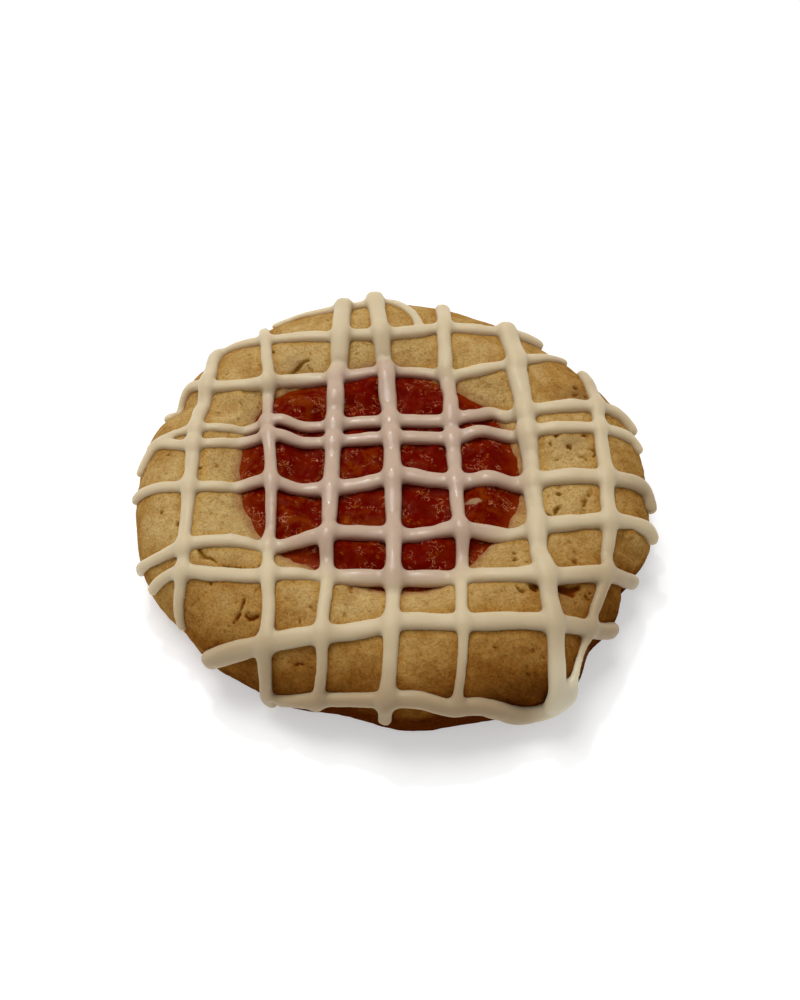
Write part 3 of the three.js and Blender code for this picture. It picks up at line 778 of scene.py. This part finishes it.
class IcingField:
    """Signed distances to the icing on a grid of voxels."""

    def __init__(self):
        self.voxel = FINENESS["voxel"]
        self.low, high = np.array(ICING_BOX)
        self.shape = np.ceil((high - self.low) / self.voxel).astype(int)
        self.band = ICING["fillet"] + 2 * self.voxel
        self.values = np.full(self.shape, self.band, np.float32)

    def strand(self, frames):
        """Signed distances to one strand alone: the union of its rounded samples."""
        values = np.full(self.shape, self.band, np.float32)
        for middle, side, up, run, half, height in zip(*frames):
            reach = half + self.band
            first = np.maximum(np.floor((middle - reach - self.low) / self.voxel).astype(int), 0)
            last = np.minimum(np.ceil((middle + reach - self.low) / self.voxel).astype(int), self.shape)
            if (last <= first).any():
                continue
            axes = [self.low[i] + self.voxel * np.arange(first[i], last[i]) - middle[i] for i in range(3)]
            grid = np.meshgrid(*axes, indexing="ij")
            across, above, along = (component(grid, way) for way in (side, up, run))
            distance = sample_distance(across, above, along, half, height)
            window = tuple(slice(a, b) for a, b in zip(first, last))
            values[window] = np.minimum(values[window], distance)
        return values

    def add(self, frames):
        """Flows a strand into the rest with a fillet."""
        other = self.strand(frames)
        fillet = ICING["fillet"]
        close = np.clip(fillet - np.abs(self.values - other), 0, None) / fillet
        self.values = np.minimum(self.values, other) - close**2 * fillet / 4

    def surface(self):
        grid = openvdb.FloatGrid(background=self.band)
        grid.copyFromArray(self.values)
        points, quads = grid.convertToQuads(isovalue=0.0)
        return points * self.voxel + self.low, quads


def relaxed(points, quads, rounds):
    """Moves each point half way to the mean of its neighbours, a few times."""
    edges = np.vstack([quads[:, [i, (i + 1) % 4]] for i in range(4)])
    here, there = np.vstack([edges, edges[:, ::-1]]).T
    count = np.maximum(np.bincount(here, minlength=len(points)), 1)
    for _ in range(rounds):
        sums = [np.bincount(here, points[there, axis], minlength=len(points)) for axis in range(3)]
        points = lerp(points, (np.array(sums) / count).T, 0.5)
    return points


def icing_piece(material):
    field = IcingField()
    for i, strand in enumerate(CROSS_STRANDS):
        field.add(strand_frames(strand, [], SEEDS["cross_strands"] + i))
    crossed = crossed_places()
    for i, strand in enumerate(LONG_STRANDS):
        field.add(strand_frames(strand, crossed, SEEDS["long_strands"] + i))
    points, quads = field.surface()
    points = relaxed(points, quads, ICING["smoothing"])
    x, y, z = points.T
    on_top = np.hypot(x, y) < outline_radius(np.arctan2(y, x)) - DOUGH["shoulder"]
    thick = spot(x, y, THICK_ICING["radius"], THICK_ICING["place"])
    attributes = {
        "over_jam": smoothstep(JAM_TINT_AND_BOUNCE, -JAM_TINT_AND_BOUNCE, beyond_well(x, y)),
        "low": np.where(on_top, smoothstep(*LOW_ICING, z - bed_top(x, y)), 0),
        # Painted shade on the icing where the dough is browned and shaded: towards the front and right and
        # down the edge; none where it lies thick.
        "painted_icing_shade": np.clip(dough_browning_and_shade(x, y), 0, 1) * (1 - thick),
        "thick": thick,
    }
    return mesh_piece("piped_icing", points, quads[:, ::-1].tolist(), material, attributes)


# ---- Materials ----

MIX_SHARE, MIX_FIRST, MIX_SECOND, MIX_RESULT = 0, 6, 7, 2  # sockets of a Mix node that mixes colours


class Nodes:
    """A material's node tree, with short calls for the few nodes that are used here."""

    def __init__(self, name):
        self.material = bpy.data.materials.new(name)
        self.material.use_nodes = True
        self.tree = self.material.node_tree
        self.shader = self.tree.nodes["Principled BSDF"]

    def node(self, kind, values=None, **settings):
        node = self.tree.nodes.new(kind)
        for key, value in settings.items():
            setattr(node, key, value)
        for socket, value in (values or {}).items():
            if isinstance(value, bpy.types.NodeSocket):
                self.tree.links.new(value, node.inputs[socket])
            else:
                node.inputs[socket].default_value = value
        return node

    def attribute(self, name):
        return self.node("ShaderNodeAttribute", attribute_name=name).outputs["Fac"]

    def noise(self, size, detail=2.0, roughness=0.5, distortion=0.0):
        """Noise whose features are about `size` millimetres."""
        place = self.node("ShaderNodeTexCoord").outputs["Object"]
        values = {"Vector": place, "Scale": 1 / (size * MM), "Detail": detail}
        values.update(Roughness=roughness, Distortion=distortion)
        return self.node("ShaderNodeTexNoise", values).outputs["Fac"]

    def curls(self, size, ring):
        """Short curly lines: rings of about `size` millimetres round scattered points, bent by noise."""
        place = self.node("ShaderNodeTexCoord").outputs["Object"]
        wander = {"Vector": place, "Scale": 1 / (0.9 * size * MM), "Detail": 2.0}
        bend = self.node("ShaderNodeTexNoise", wander).outputs["Color"]
        reach = (1.3 * size * MM,) * 3
        shift = self.node("ShaderNodeVectorMath", {0: bend, 1: reach}, operation="MULTIPLY")
        bent = self.node("ShaderNodeVectorMath", {0: place, 1: shift.outputs[0]}, operation="ADD")
        cells = self.node("ShaderNodeTexVoronoi", {"Vector": bent.outputs[0], "Scale": 1 / (size * MM)})
        off_ring = self.maths("ABSOLUTE", self.maths("SUBTRACT", cells.outputs["Distance"], ring))
        return self.between(off_ring, 0.02, 0.08, 1.0, 0.0)

    def lines(self, noise, width):
        """Thin lines where a noise crosses its middle value."""
        off_line = self.maths("ABSOLUTE", self.maths("SUBTRACT", noise, 0.5))
        return self.between(off_line, 0.0, width, 1.0, 0.0)

    def maths(self, operation, first, second=0.0, clamp=False):
        inputs = {0: first, 1: second}
        return self.node("ShaderNodeMath", inputs, operation=operation, use_clamp=clamp).outputs[0]

    def times(self, first, second):
        return self.maths("MULTIPLY", first, second)

    def between(self, value, low, high, start=0.0, end=1.0):
        """Maps value from low..high to start..end, smoothly and clamped."""
        values = {"Value": value, "From Min": low, "From Max": high, "To Min": start, "To Max": end}
        return self.node("ShaderNodeMapRange", values, interpolation_type="SMOOTHSTEP").outputs["Result"]

    def ramp(self, value, stops):
        node = self.node("ShaderNodeValToRGB", {"Fac": value})
        elements = node.color_ramp.elements
        while len(elements) < len(stops):
            elements.new(0.5)
        for element, (position, colour) in zip(elements, stops):
            element.position = position
            element.color = (*colour, 1)
        return node.outputs["Color"]

    def mix(self, share, first, second, blend="MIX"):
        node = self.node("ShaderNodeMix", data_type="RGBA", blend_type=blend)
        for socket, value in ((MIX_SHARE, share), (MIX_FIRST, first), (MIX_SECOND, second)):
            if isinstance(value, bpy.types.NodeSocket):
                self.tree.links.new(value, node.inputs[socket])
            else:
                node.inputs[socket].default_value = value if socket == MIX_SHARE else (*value, 1)
        return node.outputs[MIX_RESULT]

    def layers(self, colour, colours, shares, blend="MIX"):
        """Lays named colours over a colour one after the other, each by its own share."""
        for name, share in shares.items():
            colour = self.mix(share, colour, colours[name], blend)
        return colour

    def bump(self, height, distance, strength=1.0, normal=None):
        values = {"Height": height, "Distance": distance * MM, "Strength": strength}
        if normal is not None:
            values["Normal"] = normal
        return self.node("ShaderNodeBump", values).outputs["Normal"]

    def finish(self, **values):
        for socket, value in values.items():
            name = socket.replace("_", " ")
            if isinstance(value, bpy.types.NodeSocket):
                self.tree.links.new(value, self.shader.inputs[name])
            else:
                self.shader.inputs[name].default_value = value
        return self.material


# The dough's colour by how far it browned and how much painted shade it has; the darkest stop is painted
# shade low on the front and right.
DOUGH_COLOURS = [
    (0.0, (0.51, 0.347, 0.139)),
    (0.3, (0.395, 0.22, 0.06)),
    (0.6, (0.245, 0.10, 0.016)),
    (1.0, (0.07, 0.014, 0.001)),
]
# Colours that it is multiplied by: grain and specks, and the painted contact shade and hollow shade.
DOUGH_TINTS = {
    "clump": (0.84, 0.77, 0.66),
    "light_grain": (1.18, 1.17, 1.14),
    "dark_grain": (0.8, 0.68, 0.46),
    "speck": (0.6, 0.45, 0.28),
    "fissure": (0.6, 0.42, 0.26),
    "painted_contact_shade": (0.9, 0.76, 0.45),
    "hollow": (0.78, 0.64, 0.36),
}
DOUGH_STAINS = {"moist": (0.21, 0.125, 0.06), "juice": (0.32, 0.12, 0.05)}
HOLLOW_SHADE_COLOURS = [(0.135, 0.058, 0.005), (0.12, 0.018, 0.0005)]  # painted shade inside hollows, in pale and in browned dough
ICING_COLOURS = {
    "cream": [(0.595, 0.495, 0.33), (0.545, 0.44, 0.275)],
    "thick": (0.66, 0.6, 0.45),
    "jam_tint_and_bounce": [(0.46, 0.318, 0.255), (0.36, 0.15, 0.10)],  # high and low on a strand over the jam: the jam's tint with painted red bounce light, darker low down as painted shade
    # a brown painted shade on the icing
    "painted_icing_shade": (0.26, 0.17, 0.085),
}
JAM_COLOURS = {
    "deep": [(0.11, 0.0015, 0.0), (0.14, 0.007, 0.0)],
    "amber": (0.17, 0.024, 0.0),
    # painted highlight: light orange curls on the fruit
    "curl_highlight": (0.30, 0.085, 0.006),
    "thin": (0.24, 0.035, 0.002),
    # painted highlight: pale orange wisps along the fruit
    "wisp_highlight": (0.58, 0.21, 0.10),
    "crumb": (0.30, 0.17, 0.09),
}


def dough_texture(n, browning_and_shade, clumps, grain, fissures):
    """The sandy crumb: pale and dark grains, specks and fine fissures on the colour of browning and
    painted shade.
    """
    shares = {
        "clump": n.between(clumps, 0.35, 0.6, 0.8, 0.0),
        "light_grain": n.between(grain, 0.48, 0.62, 0.0, 0.9),
        "dark_grain": n.between(grain, 0.36, 0.48, 0.9, 0.0),
        "speck": n.between(n.noise(0.9, 3.0, 0.6), 0.3, 0.38, 0.6, 0.0),
        "fissure": n.times(fissures, 0.5),
    }
    return n.layers(n.ramp(browning_and_shade, DOUGH_COLOURS), DOUGH_TINTS, shares, "MULTIPLY")


def dough_marks(n, colour, browning_and_shade):
    """Moist patches, the jam's juice, painted contact shade beside the strands, and painted shade inside
    the hollows.
    """
    juice = n.times(n.attribute("wet"), n.between(n.noise(1.4, 3.0), 0.3, 0.6, 0.35, 0.75))
    stains = {"moist": n.times(n.attribute("stain"), 0.45), "juice": juice}
    colour = n.layers(colour, DOUGH_STAINS, stains)
    hollow = n.attribute("hollow")
    # Painted contact shade beside the strands, and painted shade in the hollows.
    shades = {"painted_contact_shade": n.times(n.attribute("painted_contact_shade"), 0.65), "hollow": n.between(hollow, 0.0, 0.6)}
    colour = n.layers(colour, DOUGH_TINTS, shades, "MULTIPLY")
    # Painted shade inside the cracks and pits, deeper where they are deeper.
    hollow_shade = n.mix(n.between(browning_and_shade, 0.1, 0.4), *HOLLOW_SHADE_COLOURS)
    return n.mix(n.between(hollow, 0.3, 1.0, 0.0, 0.9), colour, hollow_shade)


def dough_material():
    n = Nodes("baked dough")
    patches = n.between(n.noise(5.0, 4.0, 0.6), 0.3, 0.7, -0.12, 0.12)
    # The oven's browning with the painted shade on the front and right, made uneven in patches.
    browning_and_shade = n.maths("ADD", n.attribute("browning_and_shade"), patches, clamp=True)
    clumps = n.noise(1.1, 3.0, 0.6)
    grain = n.noise(0.36, 4.0, 0.7)
    cracked = n.between(n.noise(5.0, 2.0), 0.5, 0.62)
    fissures = n.times(n.lines(n.noise(2.2, 4.0, 0.65, 0.6), 0.012), cracked)
    texture = dough_texture(n, browning_and_shade, clumps, grain, fissures)
    fine = n.bump(n.noise(0.2, 3.0, 0.7), 0.08, 0.7)
    sandy = n.bump(clumps, 0.42, 0.7, n.bump(grain, 0.26, 0.8, fine))
    return n.finish(
        Base_Color=dough_marks(n, texture, browning_and_shade),
        Roughness=n.between(grain, 0.3, 0.7, 0.95, 0.75),
        Normal=n.bump(n.maths("SUBTRACT", 1.0, fissures), 0.12, 0.5, sandy),
        Specular_IOR_Level=0.0,
        Subsurface_Weight=0.2,
        Subsurface_Radius=(1.0, 0.5, 0.2),
        Subsurface_Scale=0.0006,
    )


def icing_material():
    n = Nodes("set icing")
    low = n.attribute("low")
    over_jam = n.attribute("over_jam")
    cream = n.mix(n.noise(4.0, 2.0), *ICING_COLOURS["cream"])
    cream = n.mix(n.attribute("thick"), cream, ICING_COLOURS["thick"])
    # Over the jam: the jam's tint with painted red bounce light, darker low on a strand as painted shade.
    tint_and_bounce_share = n.times(over_jam, n.between(low, 0.0, 1.0, 0.72, 1.0))
    colour = n.mix(tint_and_bounce_share, cream, n.mix(low, *ICING_COLOURS["jam_tint_and_bounce"]))
    # Painted shade towards the front and right and down the edge.
    painted_icing_shade = n.between(n.attribute("painted_icing_shade"), 0.2, 0.8, 0.0, 0.7)
    return n.finish(
        Base_Color=n.mix(painted_icing_shade, colour, ICING_COLOURS["painted_icing_shade"]),
        Roughness=n.between(over_jam, 0.0, 1.0, 0.5, 0.36),
        Normal=n.bump(n.noise(0.9, 3.0, 0.6), 0.06, 0.6),
        Specular_IOR_Level=0.2,
        Coat_Weight=n.between(over_jam, 0.0, 1.0, 0.06, 0.25),
        Coat_Roughness=0.15,
        Subsurface_Weight=0.8,
        Subsurface_Radius=(1.0, 0.75, 0.5),
        Subsurface_Scale=0.0022,
    )


def jam_material():
    n = Nodes("fruit jam")
    pulp = n.between(n.noise(1.8, 4.0, 0.65), 0.42, 0.66)
    curls = n.times(n.curls(1.15, 0.2), n.between(n.noise(2.6, 3.0), 0.5, 0.6))
    clusters = n.between(n.noise(2.4, 2.0), 0.5, 0.6)
    wisps = n.times(n.lines(n.noise(0.9, 2.0, 0.5, 0.4), 0.034), clusters)
    # The curl and wisp colours are painted highlights on the fruit.
    shares = {
        "amber": n.times(n.attribute("amber"), pulp),
        "curl_highlight": n.times(curls, 0.6),
        "thin": n.times(n.attribute("thin"), 0.4),
        "wisp_highlight": n.times(wisps, 0.75),
        "crumb": n.attribute("crumb"),
    }
    fruit = n.bump(n.noise(0.8, 3.0, 0.6), 0.16, 0.6)
    return n.finish(
        Base_Color=n.layers(n.mix(pulp, *JAM_COLOURS["deep"]), JAM_COLOURS, shares),
        Roughness=0.12,
        Normal=n.bump(wisps, 0.08, 0.8, fruit),
        Specular_IOR_Level=0.014,
        Specular_Tint=(1.0, 0.5, 0.25, 1.0),
        Subsurface_Weight=0.1,
        Subsurface_Radius=(1.0, 0.2, 0.05),
        Subsurface_Scale=0.001,
    )


# ---- Stage: floor, light and camera ----

FLOOR = {"size": 3.0, "tones": [(0.68, 0.68, 0.68), (0.7, 0.7, 0.7)], "glow": 0.4}
CAMERA = {
    "lens": 32.33,
    "sensor": 36.0,
    "azimuth": -90.0,
    "elevation": 52.0,
    "distance": 141.2,
    "target": (1.2, -3.3, 6.0),
}
KEY = {"azimuth": 122.0, "elevation": 70.0, "distance": 0.6, "size": 0.3, "power": 2.0}
GLINT = {"azimuth": 108.0, "elevation": 58.0, "distance": 0.6, "size": 0.03, "power": 0.5}
WORLD_BRIGHTNESS = 0.45


def stage_material():
    """A pale floor that glows a little, so that the cookie's shadow on it stays light."""
    n = Nodes("stage")
    return n.finish(
        Base_Color=n.mix(n.noise(60.0, 1.0), *FLOOR["tones"]),
        Roughness=0.9,
        Specular_IOR_Level=0.1,
        Emission_Color=(1.0, 1.0, 1.0, 1.0),
        Emission_Strength=FLOOR["glow"],
    )


def make_floor():
    bpy.ops.mesh.primitive_plane_add(size=FLOOR["size"])
    floor = bpy.context.object
    floor.name = "floor"
    floor.data.materials.append(stage_material())


def direction(azimuth, elevation):
    azimuth, elevation = math.radians(azimuth), math.radians(elevation)
    flat = math.cos(elevation)
    return Vector((flat * math.cos(azimuth), flat * math.sin(azimuth), math.sin(elevation)))


def make_light(name, light):
    data = bpy.data.lights.new(name, "AREA")
    data.size = light["size"]
    data.energy = light["power"]
    lamp = bpy.data.objects.new(name, data)
    towards = direction(light["azimuth"], light["elevation"])
    lamp.location = towards * light["distance"]
    lamp.rotation_euler = towards.to_track_quat("Z", "Y").to_euler()
    bpy.context.scene.collection.objects.link(lamp)


def make_world():
    world = bpy.data.worlds.new("studio")
    world.use_nodes = True
    background = world.node_tree.nodes["Background"]
    background.inputs["Color"].default_value = (1, 1, 1, 1)
    background.inputs["Strength"].default_value = WORLD_BRIGHTNESS
    bpy.context.scene.world = world


def make_camera():
    data = bpy.data.cameras.new("camera")
    data.lens = CAMERA["lens"]
    data.sensor_width = CAMERA["sensor"]
    data.clip_start = 0.01
    camera = bpy.data.objects.new("camera", data)
    towards = direction(CAMERA["azimuth"], CAMERA["elevation"])
    camera.location = (Vector(CAMERA["target"]) + towards * CAMERA["distance"]) * MM
    camera.rotation_euler = towards.to_track_quat("Z", "Y").to_euler()
    bpy.context.scene.collection.objects.link(camera)
    bpy.context.scene.camera = camera


make_camera()
make_floor()
make_world()
make_light("key", KEY)
make_light("glint", GLINT)
bpy.context.scene.view_settings.view_transform = "Standard"

dough = dough_piece(dough_material())
jam = jam_piece(jam_material())
icing = icing_piece(icing_material())
for piece in (dough, jam, icing):
    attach(piece, "root")
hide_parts("cookie")
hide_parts("cookie")
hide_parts("jam")
